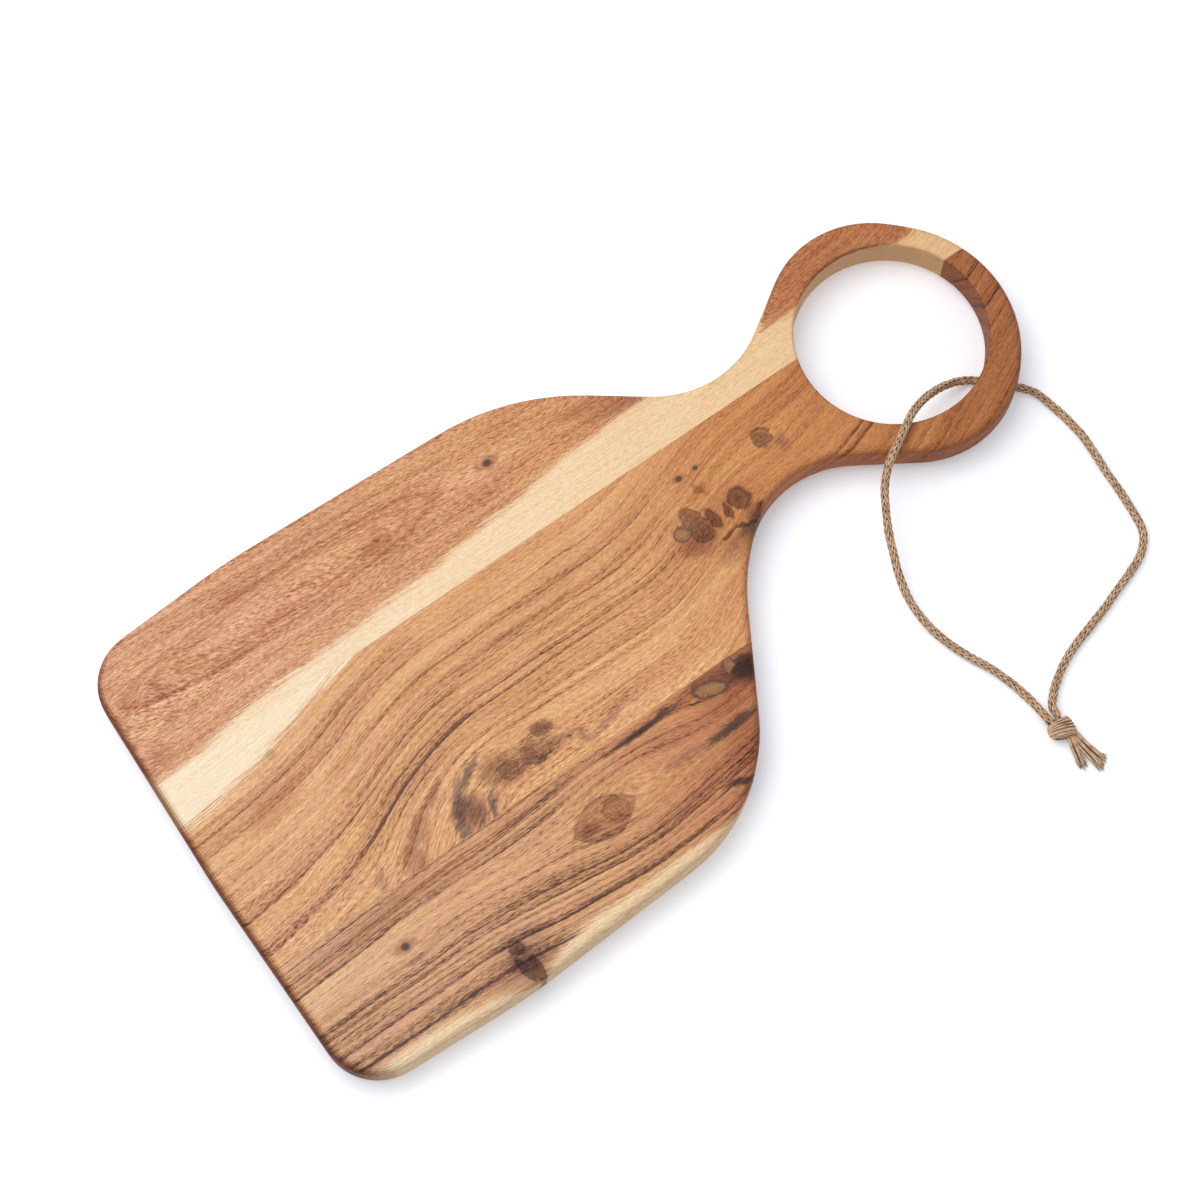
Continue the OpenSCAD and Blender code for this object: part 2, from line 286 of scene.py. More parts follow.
    colour = add(tree, "ValToRGB", [light], [(spot, linear(tone)) for spot, tone in heart])

    # Heartwood is pinker in places and more golden in others
    warm = add(tree, "MapRange", [layers["fade"], 0.36, 0.64, 0, 1])
    warm = add(tree, "Mix", {0: warm, 6: linear("#FFF9FF"), 7: linear("#FFFFF4")}, **COVER).outputs[2]
    colour = add(tree, "Mix", {0: 1.0, 6: colour, 7: warm}, **DYE).outputs[2]

    # Heartwood darkens and reddens towards the ring, and sapwood a little: partly the wood's own tone, partly
    # painted fall-off of the light
    tint_and_painted_falloff = []
    for tones in (shade, [(-200, "#FFFFFF"), (0, "#FDF5EA"), (100, "#F8E9D4"), (215, "#EED8BC")]):
        tint_and_painted_falloff.append(add(tree, "ValToRGB", [share], [(part_way(x), linear(tone)) for x, tone in tones]))
    colour = add(tree, "Mix", {0: 1.0, 6: colour, 7: tint_and_painted_falloff[0]}, **DYE).outputs[2]

    # Sapwood, the pale outer wood of the tree, with a streaky edge
    pale = add(tree, "Math", [layers["thread"], 0.8, layers["fibre"]], operation="MULTIPLY_ADD")
    pale = add(tree, "MapRange", [pale, 0.65, 1.1, 0, 1])
    pale = add(tree, "Mix", {0: pale, 6: linear(sap[0]), 7: linear(sap[1])}, **COVER).outputs[2]
    # Sapwood tint towards the ring: partly its own tone, partly painted fall-off of the light
    pale = add(tree, "Mix", {0: 1.0, 6: pale, 7: tint_and_painted_falloff[1]}, **DYE).outputs[2]
    streak = add(tree, "Math", [layers["thread"], 16, -8], operation="MULTIPLY_ADD")
    for (toward, slope, _), bound in zip(sap_edges, curves[1:]):
        over = add(tree, "Math", [across, streak], operation="ADD")
        over = add(tree, "Math", [depth, slope, over], operation="MULTIPLY_ADD")
        over = add(tree, "Math", [over, bound], operation="SUBTRACT")
        over = add(tree, "MapRange", [over, -1.0 * toward, 1.4 * toward, 0, 1])
        colour = add(tree, "Mix", {0: over, 6: colour, 7: pale}, **COVER).outputs[2]

    # Knots, bark and stains, with edges that fray along the fibres. An eye and a halo are lens-shaped.
    for kind, (blend, tones) in MARKS.items():
        near = None
        for _, x, y, half_length, half_width, angle in [mark for mark in marks if mark[0] == kind]:
            size, turned = (half_length, half_width, 1e6), (0, 0, math.radians(angle))
            clean = kind in ("pin knot", "halo", "eye")
            ground, fray = (place, 0.2) if clean else (rough, min(0.35, 1.4 / half_width))
            spot = add(tree, "Mapping", [ground, (x, y, 0), turned, size], vector_type="TEXTURE")
            if kind in ("eye", "halo"):
                side = add(tree, "VectorMath", [spot], operation="ABSOLUTE")
                bow = add(tree, "VectorMath", [side, (1, 0, 0), (0, 1, 0)], operation="MULTIPLY_ADD")
                far = add(tree, "VectorMath", [side, bow], operation="DOT_PRODUCT").outputs["Value"]
            else:
                far = add(tree, "VectorMath", [spot], operation="LENGTH").outputs["Value"]
            far = add(tree, "Math", [far, fray / 2], operation="SUBTRACT")
            far = add(tree, "Math", [layers["fibre"], fray, far], operation="MULTIPLY_ADD")
            near = add(tree, "Math", [near, far], operation="MINIMUM") if near else far
        if near is None:
            continue
        inside = add(tree, "Math", [near, EDGE], operation="MULTIPLY")
        rings = [(EDGE * out, linear(tone)[:3] + [cover]) for out, tone, cover in tones]
        mark = add(tree, "ValToRGB", [inside], rings)
        covered = mark.outputs["Alpha"]
        colour = add(tree, "Mix", {0: covered, 6: colour, 7: mark}, **COVER, blend_type=blend).outputs[2]
        if kind in ("burl", "bark", "knot", "dark knot"):
            curled = add(tree, "Math", [covered, curl], operation="MULTIPLY")
            colour = add(tree, "Mix", {0: curled, 6: colour, 7: linear(ink)}, **COVER).outputs[2]

    # Open pores, filled with darker oil, fewer in the sapwood
    pore = add(tree, "MapRange", [layers["pore"], 0.56, 0.7, 0, fibre[2]])
    fewer = add(tree, "Math", [over, -0.6, 1], operation="MULTIPLY_ADD")
    pore = add(tree, "Math", [pore, fewer], operation="MULTIPLY")
    colour = add(tree, "Mix", {0: pore, 6: colour, 7: linear(ink)}, **COVER).outputs[2]

    # Walls and round-overs are darker, as painted shade, less so in the sapwood; the butt is darkest, where
    # end grain drinks the oil
    facing = add(tree, "NewGeometry").outputs["Normal"]
    level = add(tree, "VectorMath", [facing, (0, 0, 1)], operation="DOT_PRODUCT").outputs["Value"]
    level = add(tree, "Math", [level], operation="ABSOLUTE")
    painted_edge_shade = add(tree, "MapRange", [level, 0.45, 0.99, 0.62, 0])
    paler = add(tree, "Math", [over, -0.4, 1], operation="MULTIPLY_ADD")
    painted_edge_shade = add(tree, "Math", [painted_edge_shade, paler], operation="MULTIPLY")
    butt = add(tree, "VectorMath", [facing, (-1, 0, 0)], operation="DOT_PRODUCT").outputs["Value"]
    butt = add(tree, "MapRange", [butt, 0.02, 0.75, 0, 1])
    at_end = add(tree, "MapRange", [along, -212, -206, 1, 0])
    butt = add(tree, "Math", [butt, at_end], operation="MULTIPLY")
    # Painted shade on walls and round-overs first, then the butt's oil-soaked end grain
    for dark, tone in ((painted_edge_shade, "#B48C70"), (butt, "#A07858")):
        colour = add(tree, "Mix", {0: dark, 6: colour, 7: linear(tone)}, **DYE).outputs[2]
    tree.links.new(colour, shader.inputs["Base Color"])

    # Hand-rubbed oil: satin, a little rougher in places along the fibres, with a faint relief of fibres
    gloss = add(tree, "MapRange", [layers["fibre"], 0.3, 0.7, 0.5, 0.64])
    tree.links.new(gloss.outputs[0], shader.inputs["Roughness"])
    relief = add(tree, "Math", [layers["fibre"], pore], operation="SUBTRACT")
    bump = add(tree, "Bump", {"Strength": 0.25, "Distance": 0.0004, "Height": relief})
    tree.links.new(bump.outputs[0], shader.inputs["Normal"])
    shader.inputs["IOR"].default_value = 1.5
    shader.inputs["Specular IOR Level"].default_value = 0.2
    return wood


# Left stave
# Flat-sawn pinkish heartwood, close-pored and plain, with a pin knot; its inner edge is cream sapwood
# that runs out through the neck, and it makes the ring's left half.
left_acacia = oiled_acacia(
    "oiled_acacia_left",
    heart=[(0, "#8C573A"), (0.26, "#B87D59"), (0.5, "#D29A73"), (0.74, "#E2AF87"), (0.97, "#F0C59F")],
    sap=["#E8C293", "#FBE7C5"],
    ink="#7A4A33",
    fibre=(2.6, 2.0, 0.4),
    # Tint along the board: partly the heartwood's own tone, partly painted fall-off of the light
    shade=[(-200, "#FFFDFB"), (0, "#FCF0DA"), (100, "#F3DCC0"), (150, "#DFC0A2"), (215, "#D9B998")],
    drift=[(-240, 4), (-100, 0), (60, -4), (150, 0), (240, 20)],
    lean=1.2,
    knots=[(-19, 90, 4, 2.5, 1.2), (-203, 80, 14, 1.5, 1.5), (-120, 88, 12, 3, 1.5)],
    lines=[(-230, 60, [(96, 5, 0.16), (104, -4, 0.12), (84, 6, 0.14), (76, -5, 0.12)])],
    sap_edges=[
        (
            -1,
            4,
            [(-240, 47), (-195, 52), (-170, 56), (-99, 60), (-24, 67), (37, 73), (121, 70), (240, 69)],
        ),
    ],
    marks=[
        ("flame", -132, 90, 90, 13, 1),
        ("blush", -165, 79, 14, 4, 4),
        ("blush", -136, 84, 16, 4, 0),
        ("blush", -83, 87, 12, 6, 0),
        ("blush", -199, 84, 4, 9, 20),
        ("blush", -201, 73, 9, 4, 35),
        ("blush", -215, 62, 6, 8, 0),
        ("blush", -150, 104, 20, 4, 0),
        ("shade", 48, 76.5, 22, 2.6, -4),
        ("blush", 40, 84, 30, 7, -14),
        ("halo", -19.3, 89.7, 8, 4.4, 0),
        ("pin knot", -19.3, 89.7, 3, 2.3, 0),
    ],
)
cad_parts["stave_left"].data.materials.clear()
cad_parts["stave_left"].data.materials.append(left_acacia)

# Centre stave
# Brown heartwood whose growth lines sweep up towards the ring, round a burl and a cluster of small
# knots with bark at the neck, with a cream corner; it makes the ring's right half.
centre_acacia = oiled_acacia(
    "oiled_acacia_centre",
    heart=[(0, "#6C4A39"), (0.14, "#A97552"), (0.4, "#D29A6B"), (0.68, "#E3B07F"), (0.95, "#F2CC9F")],
    sap=["#EACA9C", "#FCE9CA"],
    ink="#6A4330",
    fibre=(2.8, 1.5, 0.15),
    # Tint along the board: partly the heartwood's own tone, partly painted fall-off of the light
    shade=[
        (-200, "#FFFFFF"), (0, "#FEF5E6"), (60, "#EFD8BC"),
        (110, "#E6C9A8"), (165, "#CBA886"), (215, "#C4A286"),
    ],
    drift=[
        (-225, 0), (-190, 2.4), (-160, 7.2), (-130, 16.5), (-100, 23.1), (-70, 24.3), (-30, 25.2), (10, 28),
        (40, 37), (70, 47), (100, 52), (125, 58), (150, 67), (180, 79), (210, 91), (240, 103),
    ],
    lean=0.5,
    knots=[(-110, -50, 45, 3.5, 1.5), (50, 6, 5, 3, 1.2), (90, 27, 5, 2, 1.2)],
    lines=[
        (
            -232,
            -105,
            [(4, -7, 0.4), (0, 4, 0.65), (-5, -2, 0.25), (-8, 3, 0.35), (-22, 2.5, 0.35), (-29, 2, 0.35)],
        ),
        (-232, -105, [(-33.2, 2.6, 0.6), (-36.1, 3.4, 0.65), (-46, 3.4, 0.65)]),
        (
            -150,
            20,
            [(-8, 3, 0.3), (-17.9, 5, 0.45), (-26.5, 3, 0.45), (-29, 2, 0.35), (-33.2, 2, 0.35)]
            + [(-39, 2, 0.35)],
        ),
        (
            -150,
            20,
            [(-42.1, 2.6, 0.55), (-46, 2.5, 0.45), (-49.8, 2.4, 0.45), (-52.5, 2, 0.35), (-55.7, 2, 0.45)],
        ),
        (-120, -20, [(-58.5, 2, 0.4)]),
        (50, 125, [(-20, 3, 0.3), (-27, 2, 0.3), (-35, 3, 0.3)]),
        (106, 158, [(-64.5, 2.2, 0.8), (-68, 2.4, 0.75)]),
        (125, 250, [(-74, 2, 0.3), (-79, 3, 0.35), (-90, 4, 0.35), (-97, 3, 0.35), (-104, 3, 0.3)]),
        (206, 250, [(-83, 2.4, 0.7), (-68.5, 2.4, 0.7), (-73, 2, 0.45)]),
        (186, 216, [(-111, 2.4, 0.65)]),
    ],
    sap_edges=[
        (
            1,
            0.5,
            [(-240, 22), (-224, 25), (-199, 29), (-175, 34), (-149, 42), (-125, 48), (-90, 62), (240, 140)],
        ),
    ],
    marks=[
        ("shade", -176, 31.7, 3, 3, 0),
        ("blush", -186, 12, 24, 8, 14),
        ("shade", -168, -44, 9, 4, 66),
        ("mauve", -151, -44, 11, 7, 56),
        ("mauve", -143, -35, 13, 5.4, 42),
        ("mauve", -130, -26, 13, 3.2, 32),
        ("smoke", -127, -46, 11, 4, 82),
        ("smoke", -124.6, -39, 12, 4.2, 66),
        ("smoke", -120, -32.5, 12, 3.8, 52),
        ("smoke", -111, -26.5, 13, 2.8, 32),
        ("burl", -119, -41, 7, 9, -20),
        ("shade", -118, -42, 9, 10, 0),
        ("smoke", -109.4, -44.5, 10, 2.8, 66),
        ("burl", -97, -33, 11, 8, -14),
        ("burl", -80, -34.5, 11, 6.5, -12),
        ("burl", -89, -36, 12, 5, 0),
        ("burl", -72.5, -28, 6.5, 3.6, -20),
        ("swirl", -95, -35, 5, 4.4, 0),
        ("swirl", -84, -35.4, 3.4, 5, 10),
        ("swirl", -72.4, -28, 5, 3, -20),
        ("smoke", -79, -39.4, 9, 1.2, 8),
        ("shade", -66, -37, 12, 3, -8),
        ("shade", -59, -41.5, 9, 3, -62),
        ("shade", -46, -42, 16, 2.6, 16),
        ("blush", 52, 6, 38, 16, 0),
        ("blush", 50, 21.6, 12, 4, 0),
        ("blush", 55, -4, 18, 8, 0),
        ("shade", 49, -10, 14, 7, 10),
        ("knot", 40, 14, 4.4, 5, 20),
        ("mauve", 51, 22.5, 2.4, 5, 30),
        ("mauve", 36, 1, 12, 7, 0),
        ("bark", 32.3, 9.5, 4.6, 4.2, 20),
        ("knot", 41, 6, 5.4, 6.4, 0),
        ("dark knot", 48.4, 7.3, 2.8, 5.4, 8),
        ("dark knot", 55.9, 6.7, 2, 4.2, -10),
        ("dark knot", 63.7, 8.8, 5.4, 5.8, 0),
        ("smoke", 61, -5, 10, 5, 20),
        ("mauve", 66, -0.2, 6, 4, 20),
        ("smoke", 69, 0.4, 5, 1.4, 30),
        ("dark knot", 50, -2.6, 5, 0.9, 8),
        ("dark knot", 59, -3.4, 6, 1, -16),
        ("halo", 47, 32.3, 5, 3, 0),
        ("halo", 56.3, 32.3, 4, 2.4, 0),
        ("pin knot", 47, 32.3, 2.3, 1.9, 0),
        ("pin knot", 56.3, 32.3, 1.6, 1.4, 0),
        ("knot", 90, 27, 5, 5, 0),
        ("shade", 96.4, 19.5, 4, 6, 0),
    ],
)
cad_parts["stave_centre"].data.materials.clear()
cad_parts["stave_centre"].data.materials.append(centre_acacia)

# Right stave
# The darkest stave, streaked along its length, with an eye knot, bark at the flank, and a strip of
# sapwood along its outer edge that a dark knot splits.
right_acacia = oiled_acacia(
    "oiled_acacia_right",
    heart=[(0, "#5A4034"), (0.12, "#97694F"), (0.36, "#CA9971"), (0.64, "#E0B084"), (0.92, "#EFC69B")],
    sap=["#DAB07C", "#FFE9C2"],
    ink="#57382B",
    fibre=(3.2, 1.3, 0.12),
    # Tint along the board: partly the heartwood's own tone, partly painted fall-off of the light
    shade=[(-200, "#FFFFFF"), (-80, "#FDF3E6"), (-40, "#EED4C2"), (0, "#DCBAA6"), (40, "#D2AA94")],
    drift=[(-240, 0), (-190, 1), (-150, 1.6), (-110, -0.6), (-60, -1.4), (-20, -0.6), (60, 2), (240, 2)],
    lean=0.4,
    knots=[(-58, -76.5, 18, 2, 1.2), (-176, -73.5, 3, 2, 1.2), (0, -56, 6, 2, 1.2)],
    lines=[
        (
            -235,
            0,
            [(-85.5, 3.4, 0.7), (-88.9, 3.4, 0.8), (-91.5, 2.6, 0.4), (-94, 2.6, 0.45), (-98, 3.2, 0.65)]
            + [(-106.4, 3, 0.75)],
        ),
        (
            -235,
            -85,
            [(-51.5, 1.6, 0.4), (-53, 1.6, 0.5), (-55, 2, 0.55), (-57.3, 2, 0.5), (-60.5, 2, 0.55)]
            + [(-62.5, 2, 0.5), (-66.8, 3, 0.65)],
        ),
        (-235, -120, [(-71, 2.5, 0.26), (-80.5, 2, 0.22)]),
        (-104, 4, [(-56, 2, 0.3), (-58, 2, 0.35), (-61.4, 3, 0.6)]),
        (-235, 0, [(-96, -6, 0.3), (-102, -7, 0.3), (-107, -6, 0.3)]),
        (
            -62,
            24,
            [(-66, 1.6, 0.4), (-69.5, 1.6, 0.3), (-79.5, 1.6, 0.35), (-83, 1.6, 0.4), (-101, 2.2, 0.45)],
        ),
        (-158, -70, [(-74, 2, 0.2), (-78.3, 3, 0.4)]),
    ],
    sap_edges=[
        (
            -1,
            0.4,
            [(-240, -113), (-218, -111.5), (-197, -110), (-176, -111.4), (-160, -114.6), (-149, -117)]
            + [(-137, -120), (-127, -114.5), (-114, -111.5), (-65, -110.5), (-30, -110), (-15, -108)]
            + [(10, -104), (240, -104)],
        ),
    ],
    marks=[
        ("blush", -165, -57, 85, 7, 2),
        ("halo", -176.3, -73.7, 8, 4, 0),
        ("pin knot", -176.3, -73.7, 2.6, 2.3, 0),
        ("shade", -176, -81, 6, 2, 0),
        ("eye", -73.5, -77.4, 17, 10, 0),
        ("swirl", -67, -76.8, 6, 5.6, 0),
        ("mauve", -82, -77.8, 7.5, 4.4, 0),
        ("stain", 18, -57, 11, 9, 20),
        ("stain", -36, -54.4, 30, 2.4, 2),
        ("blush", 8, -62, 22, 10, 10),
        ("bark", -1, -57, 9, 3.8, -24),
        ("bark", 12, -52.5, 2.8, 4.4, -20),
        ("burl", 8, -56, 18, 7, -10),
        ("stain", -3, -76.3, 22, 3.4, 3),
        ("shade", -30, -75.5, 14, 3.4, 0),
        ("stain", -15, -99, 11, 2.6, -12),
        ("blush", 0, -88, 20, 12, 20),
        ("shade", -137, -102, 18, 9, 0),
        ("shade", -140, -113, 20, 7, 0),
        ("dark knot", -138, -102.5, 3.6, 3.4, 0),
        ("dark knot", -140, -112.5, 2.2, 6.5, 12),
        ("dark knot", -135.6, -114.5, 2.4, 6.5, -10),
        ("mauve", -137.5, -109, 9, 9, 0),
    ],
)
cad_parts["stave_right"].data.materials.clear()
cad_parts["stave_right"].data.materials.append(right_acacia)

# Cord loop
# A limp jute cord, knitted as a small tube of chain stitches round a core. It leaves the knot, lies on
# the table, goes over the ring, down through the hole, under the ring and back to the knot.
HOLE = np.array([0.170675, 0.03355, 0.0])  # below the middle of the ring's hole, on the table
loop_route = [
    (-53.35, -187.05, 4.75), (-53.35, -182, 4.3), (-53.5, -174, 3), (-55.5, -162, 2.25), (-58.5, -152, 2.25),
    (-62.5, -143, 2.25), (-66, -133.5, 2.5), (-68.5, -123.5, 3), (-69.5, -114, 4), (-69, -104, 5.5),
    (-66.5, -94, 7.5), (-63, -85, 10), (-59, -75.5, 13), (-54.5, -67, 16.5), (-49.5, -59, 20.5),
    (-43.5, -53, 23.5), (-37.5, -49, 24.8), (-30, -45, 25.1), (-22.8, -40.7, 24.9), (-14.8, -36.6, 22),
    (-5.2, -33.6, 17), (6, -31.9, 10.7), (15.4, -32.2, 5.3), (22, -34.5, 2.8), (27.5, -39, 2.25),
    (33.5, -45, 2.25), (39, -51, 2.25), (43.5, -57.5, 2.25), (45.5, -66.5, 2.25), (47, -76.5, 2.25),
    (47.5, -87, 2.25), (46.5, -97.5, 2.25), (45, -108.5, 2.25), (44, -119.5, 2.25), (42.5, -130, 2.25),
    (40, -140.5, 2.25), (33, -148, 2.25), (23, -152.5, 2.25), (12, -156, 2.25), (1.5, -159.5, 2.25),
    (-9, -162.5, 2.25), (-20, -165.5, 2.25), (-30, -169.5, 2.25), (-39.5, -175, 2.5), (-45, -179.5, 3.3),
    (-47.5, -182, 4.1), (-48.65, -185, 4.7), (-48.65, -187.05, 4.75),
]


def laid(route, step):
    """Evenly spaced points, in metres, on a smooth curve through a route given in mm about the hole."""
    stops = np.array(route, float) / 1000 + HOLE
    ends = np.vstack([2 * stops[0] - stops[1], stops, 2 * stops[-1] - stops[-2]])
    t = np.linspace(0, 1, 24, endpoint=False)[:, None]
    curve = []
    for a, b, c, d in zip(ends, ends[1:], ends[2:], ends[3:]):
        bend, twist = 2 * a - 5 * b + 4 * c - d, 3 * b - a - 3 * c + d
        curve.append(0.5 * (2 * b + (c - a) * t + bend * t**2 + twist * t**3))
    curve = np.vstack(curve + [stops[-1:]])
    gone = np.r_[0, np.cumsum(np.linalg.norm(np.diff(curve, axis=0), axis=1))]
    even = np.linspace(0, gone[-1], int(gone[-1] / step) + 1)
    return np.stack([np.interp(even, gone, curve[:, k]) for k in range(3)], -1)


def tube(skin, line, wide, thick, outward, sides, kind):
    """Add one closed yarn along a line to a skin: wide across and thick along its outward direction."""
    points, faces, marks = skin
    ahead = np.gradient(line, axis=0)
    ahead /= np.linalg.norm(ahead, axis=1)[:, None]
    out = outward - (outward * ahead).sum(1)[:, None] * ahead
    out /= np.linalg.norm(out, axis=1)[:, None]
    over = np.cross(ahead, out)
    turn = np.linspace(0, 2 * math.pi, sides, endpoint=False)
    first, n = len(points), len(line)
    wide, thick = np.broadcast_to(wide, n)[:, None], np.broadcast_to(thick, n)[:, None]
    gone = np.r_[0, np.cumsum(np.linalg.norm(np.diff(line, axis=0), axis=1))]
    breadth = (wide * np.cos(turn))[..., None] * over[:, None]
    height = (thick * np.sin(turn))[..., None] * out[:, None]
    points.extend((line[:, None] + breadth + height).reshape(-1, 3))
    for i in range(n):
        marks.extend((gone[i] * 1000, math.sin(turn[k]), kind) for k in range(sides))
    for i in range(n - 1):
        a = first + i * sides
        for k in range(sides):
            j = (k + 1) % sides
            faces.append((a + k, a + j, a + sides + j, a + sides + k))
    faces.append(tuple(first + k for k in range(sides - 1, -1, -1)))
    faces.append(tuple(first + (n - 1) * sides + k for k in range(sides)))


def piece(name, skin, material):
    """Make an object of a skin, smooth, with the yarns' own coordinates in an attribute."""
    points, faces, marks = skin
    mesh = bpy.data.meshes.new(name)
    mesh.from_pydata([tuple(p) for p in points], [], faces)
    own = mesh.attributes.new("yarn", "FLOAT_VECTOR", "POINT")
    own.data.foreach_set("vector", np.array(marks, np.float32).ravel())
    mesh.shade_smooth()
    mesh.materials.append(material)
    made = bpy.data.objects.new(name, mesh)
    bpy.context.scene.collection.objects.link(made)
    return made


# Jute is a coarse, dull bast fibre: straw-brown and streaked along each yarn, with painted shade in the gaps
# between yarns. Its fibres are some hundredths of a millimetre, and are drawn as streaks of half a one, to
# show.
jute = bpy.data.materials.new("knitted_jute")
jute.use_nodes = True
tree = jute.node_tree
shader = tree.nodes["Principled BSDF"]
yarn = add(tree, "Attribute", attribute_name="yarn")
hair = add(tree, "VectorMath", [yarn.outputs["Vector"], (1 / 3, 2, 1)], operation="MULTIPLY")
hair = add(tree, "TexNoise", {"Vector": hair, "Scale": 1, "Detail": 3, "Roughness": 0.65})
tones = [(0, "#94704E"), (0.45, "#D2AA84"), (1, "#F6D6B0")]
hair = add(tree, "MapRange", [hair, 0.3, 0.7, 0, 1])
tone = add(tree, "ValToRGB", [hair], [(spot, linear(code)) for spot, code in tones])
parts = add(tree, "SeparateXYZ", [yarn.outputs["Vector"]]).outputs
# Painted shade where a yarn turns in towards its neighbours, and on the core and the tails' backing, which
# show only in the gaps
painted_groove_shade = add(tree, "MapRange", [parts["Y"], 0.2, 0.9, 0.85, 0])
painted_gap_shade = add(tree, "Math", [parts["Z"], 0], operation="LESS_THAN")
painted_gap_shade = add(tree, "Math", [painted_gap_shade, painted_groove_shade], operation="MAXIMUM")
tone = add(tree, "Mix", {0: painted_gap_shade, 6: tone, 7: linear("#74543A")}, **COVER).outputs[2]
tree.links.new(tone, shader.inputs["Base Color"])
shader.inputs["Roughness"].default_value = 0.85
shader.inputs["IOR"].default_value = 1.45

# Four columns of stitches go round the cord, and once about it in each turn of 200 mm. Each stitch is a V
# of yarn whose legs swell out of their seat round the core and tuck under the next one.
COLUMNS, STITCH, LEG, LOOSE, WIND = 4, 0.0034, 0.005, 0.0003, 0.2
CORE, SEAT, SWELL = 0.0012, 0.00118, (0.0004, 0.00054)
YARN_WIDE, YARN_THICK, YARN_SIDES = 0.00045, 0.00042, 8
line = laid([(-52.6, -191, 4.6)] + loop_route + [(-50, -191, 4.6)], 0.0004)
ahead = np.gradient(line, axis=0)
ahead /= np.linalg.norm(ahead, axis=1)[:, None]
beside = np.cross(ahead, (0, 0, 1))
beside /= np.linalg.norm(beside, axis=1)[:, None]
above = np.cross(beside, ahead)
gone = np.arange(len(line)) * np.linalg.norm(line[1] - line[0])
skin = ([], [], [])
# The core, coloured dark as painted shade where it shows between the stitches
tube(skin, line[::4], CORE, CORE, above[::4], YARN_SIDES, -1)
vee = np.linspace(-1, 1, 11)
uneven = np.random.default_rng(3)
for column in range(COLUMNS):
    starts = np.arange(column / COLUMNS * STITCH, gone[-1] - LEG - LOOSE, STITCH)
    for number, start in enumerate(starts):
        where = start + uneven.uniform(0, LOOSE) + LEG * np.abs(vee) ** 0.8
        spot, side, top = [
            np.stack([np.interp(where, gone, v[:, k]) for k in range(3)], -1) for v in (line, beside, above)
        ]
        turn = 2 * math.pi * ((column + 0.5 * vee) / COLUMNS + where / WIND)
        out = np.cos(turn)[:, None] * side + np.sin(turn)[:, None] * top
        rise = SEAT + uneven.uniform(*SWELL) * np.sin(math.pi * (0.15 + 0.85 * np.abs(vee)))
        leg = spot + rise[:, None] * out
        tube(skin, leg, YARN_WIDE, YARN_THICK, out, YARN_SIDES, column + 4.3 * number)
cord_loop = piece("jute_loop", skin, jute)
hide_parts("cord_loop")
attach(cord_loop, "root")

# Cord knot
# Both strands are tied together in one overhand knot: the doubled cord wraps round itself and is
# pulled tight, which flattens it, lays its yarns side by side and fans them out towards the tails.
KNOT = np.array([-0.051, -0.1928, 0.00475]) + HOLE
LENGTHWISE, CROSSWISE, UP = np.array([[0.97, -0.242, 0], [-0.242, -0.97, 0], [0, 0, 1]])
skin = ([], [], [])
turn = np.linspace(-0.5, 1.5, 64) * math.pi
# Each band of yarns: how many, their first and last place across at the left and at the right, and height
bands = [
    (5, -2, 1.4, -3.0, 3.2, 3.4),
    (3, 1, 2.6, 2.8, 4.6, 2.9),
    (2, -2, -1.2, -3.4, -2.4, 2.6),
    (3, 2.6, 3.6, 4.4, 5.2, 1.8),
]
for band, (yarns, left_first, left_last, right_first, right_last, height) in enumerate(bands):
    for k in range(yarns):
        t = k / (yarns - 1)
        left = (left_first + (left_last - left_first) * t) / 1000
        right = (right_first + (right_last - right_first) * t) / 1000
        near = -0.0062 + 130 * (left - 0.0004) ** 2
        far_end = 0.0057 - 45 * (right - 0.0016) ** 2
        lie = (near + far_end) / 2 + (far_end - near) / 2 * np.cos(turn)
        fan = (lie - near) / (far_end - near)
        across = left * (1 - fan) + right * fan - 0.0004 * np.sin(turn)
        rise = (height / 1000 - 0.0005 * (2 * t - 1) ** 2 + 0.0003 * (k % 2)) * np.sin(turn)
        out = np.cos(turn)[:, None] * LENGTHWISE * 0.5 + np.sin(turn)[:, None] * UP
        wrap = KNOT + lie[:, None] * LENGTHWISE + across[:, None] * CROSSWISE + rise[:, None] * UP
        tube(skin, wrap, 0.0005, 0.00055, out, YARN_SIDES, k + 10 * band)
# What the yarns wrap round
core = np.linspace(-1, 1, 9)[:, None]
round_off = np.sqrt(1.02 - core[:, 0] ** 2)
core_line = KNOT + 0.0052 * core * LENGTHWISE + 0.0012 * CROSSWISE
tube(skin, core_line, 0.004 * round_off, 0.003 * round_off, np.tile(UP, (9, 1)), 12, 40)
cord_knot = piece("jute_knot", skin, jute)
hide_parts("cord_knot")
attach(cord_knot, "root")

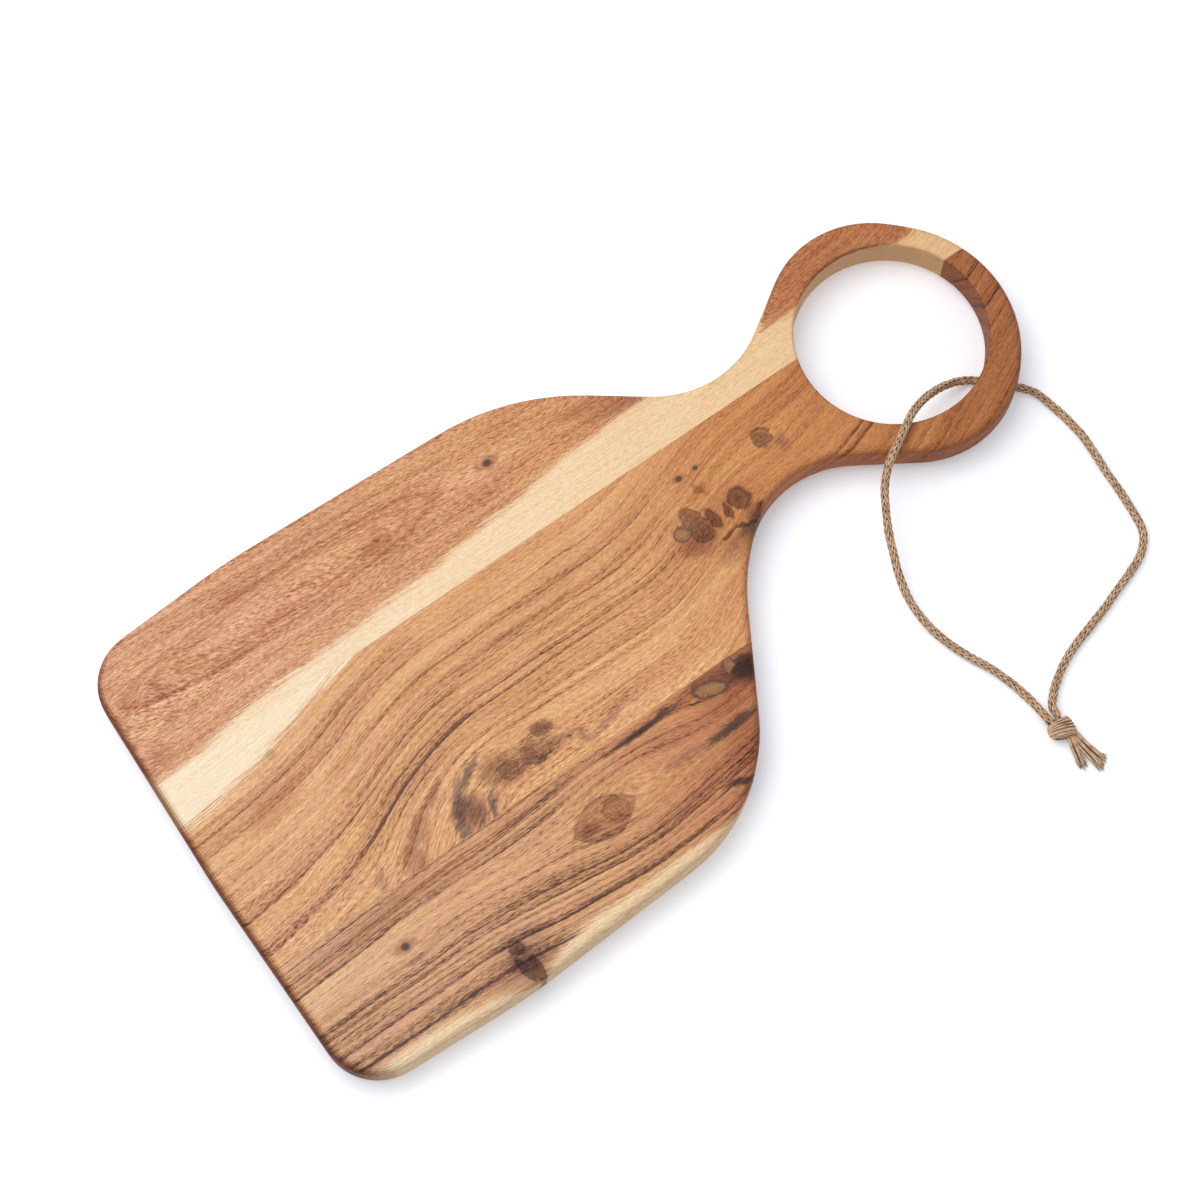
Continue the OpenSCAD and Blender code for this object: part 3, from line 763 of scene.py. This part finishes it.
# Cord tails
# The cord's two cut ends come out of the knot; cut jute isn't whipped, so the yarns part and fray.
tails = [
    [(-50.4, -198.4), [(-54.2, -210.4), (-53.0, -211.4), (-51.4, -210.4)]],
    [(-48.2, -198.6), [(-48, -215.4), (-46.8, -216), (-45.4, -215.4), (-44, -214.8), (-42.8, -213.4)]],
]
TAIL_YARN, HAIRS, HAIR = 0.00068, 16, 0.0002
fray = np.random.default_rng(7)
skin = ([], [], [])
for (x, y), tips in tails:
    middle = np.mean(tips, axis=0)
    half, most = [(x, y) + (middle - (x, y)) * t for t in (0.5, 0.95)]
    line = laid([(x - 0.6, y + 4, 3.6), (x, y, 3.6), (*half, 2.2), (*most, 0.9)], 0.0008)
    spread = np.linspace(0.00024, 0.0005, len(line)) * len(tips)
    # A flat band under the tail's yarns, coloured dark as painted shade in the gaps between them
    tube(skin, line, spread, 0.0004, np.tile(UP, (len(line), 1)), YARN_SIDES, -1)
    for k, (tip_x, tip_y) in enumerate(tips):
        aside = (k / (len(tips) - 1) - 0.5) * 0.7 * len(tips)
        route = [(x + aside - 0.6, y + 4, 4.2), (x + aside, y, 4.3)]
        for t in (0.35, 0.7, 1):
            bow = 0.5 * math.sin(math.pi * t) * (k % 2 - 0.5)
            reach = x + aside + (tip_x - x - aside) * t**1.15 + bow
            route.append((reach, y + (tip_y - y) * t, 4.3 - 3.1 * t + 0.5 * (k % 2)))
        line = laid(route, 0.0004)
        thick = TAIL_YARN * np.interp(np.linspace(0, 1, len(line)), [0, 0.75, 1], [0.9, 1, 0.8])
        tube(skin, line, thick, thick, np.tile(UP, (len(line), 1)), YARN_SIDES, k)
        end = (line[-1] - line[-9]) / np.linalg.norm(line[-1] - line[-9])
        for _ in range(HAIRS):
            start = line[-1 - int(fray.integers(2, 8))] + fray.normal(0, 0.00032, 3)
            heading = end + fray.normal(0, 0.2, 3) * (1, 1, 0.6)
            hair = start + np.linspace(0, fray.uniform(0.0016, 0.0034), 5)[:, None] * heading
            hair[:, 2] = np.maximum(hair[:, 2], 0.0003)
            tube(skin, hair, HAIR, HAIR, np.tile(UP, (5, 1)), 5, k + fray.uniform(0, 9))
cord_tails = piece("jute_tails", skin, jute)
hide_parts("cord_tails")
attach(cord_tails, "root")

# Points every 2 mm along the loop's route
loop_line = laid(loop_route, 0.002)

# Floor
# A sheet of matt white paper under the board and the cord, which lie on it loose.
floor_mesh = bpy.data.meshes.new("floor")
floor_mesh.from_pydata([(-3, -3, 0), (3, -3, 0), (3, 3, 0), (-3, 3, 0)], [], [(0, 1, 2, 3)])
floor = bpy.data.objects.new("floor", floor_mesh)
bpy.context.scene.collection.objects.link(floor)
floor.location.z = -0.0002
paper = bpy.data.materials.new("white_paper")
paper.use_nodes = True
tree = paper.node_tree
sheet = tree.nodes["Principled BSDF"]
sheet.inputs["Base Color"].default_value = linear("#FAFAFA")
sheet.inputs["Roughness"].default_value = 0.9
# Seen directly or in a reflection, the paper is lifted to white, and keeps the shadows on it
seen = add(tree, "LightPath").outputs
direct = add(tree, "Math", [seen["Is Camera Ray"], seen["Is Glossy Ray"]], operation="MAXIMUM")
direct = add(tree, "Math", [direct, seen["Is Transmission Ray"]], operation="MAXIMUM")
lift = add(tree, "Math", [direct, 0.2], operation="MULTIPLY")
white = add(tree, "Emission", {"Color": (1, 1, 1, 1), "Strength": lift})
both = add(tree, "AddShader", [sheet, white])
tree.links.new(both.outputs[0], tree.nodes["Material Output"].inputs["Surface"])
floor_mesh.materials.append(paper)

# Light
# A large softbox high above the far left side, in a white room, for soft and short shadows.
world = bpy.data.worlds.new("studio")
world.use_nodes = True
world.node_tree.nodes["Background"].inputs["Color"].default_value = linear("#ECF2FF")
world.node_tree.nodes["Background"].inputs["Strength"].default_value = 0.7
bpy.context.scene.world = world
lamp = bpy.data.lights.new("softbox", "AREA")
lamp.shape = "RECTANGLE"
lamp.size, lamp.size_y = 1.1, 1.1
lamp.energy = 11
softbox = bpy.data.objects.new("softbox", lamp)
softbox.location = (-0.3, 0.5, 1.25)
softbox.rotation_euler = (Vector((0, 0, 0)) - softbox.location).to_track_quat("-Z", "Y").to_euler()
bpy.context.scene.collection.objects.link(softbox)

# Camera
# It looks down on the board from its near side, at about 70 degrees, through a long lens.
lens = bpy.data.cameras.new("camera")
lens.sensor_fit = "HORIZONTAL"
lens.sensor_width = 36
lens.lens = 84
lens.clip_end = 20
camera = bpy.data.objects.new("camera", lens)
right = Vector((0.811643, -0.584083, 0.009089))
up = Vector((0.546562, 0.764810, 0.341081))
ahead = Vector((0.206171, 0.271868, -0.939990))
turn = Matrix((right, up, -ahead)).transposed().to_4x4()
camera.matrix_world = Matrix.Translation((-0.275031, -0.335584, 1.200431)) @ turn
bpy.context.scene.collection.objects.link(camera)
bpy.context.scene.camera = camera
bpy.context.scene.view_settings.view_transform = "Standard"
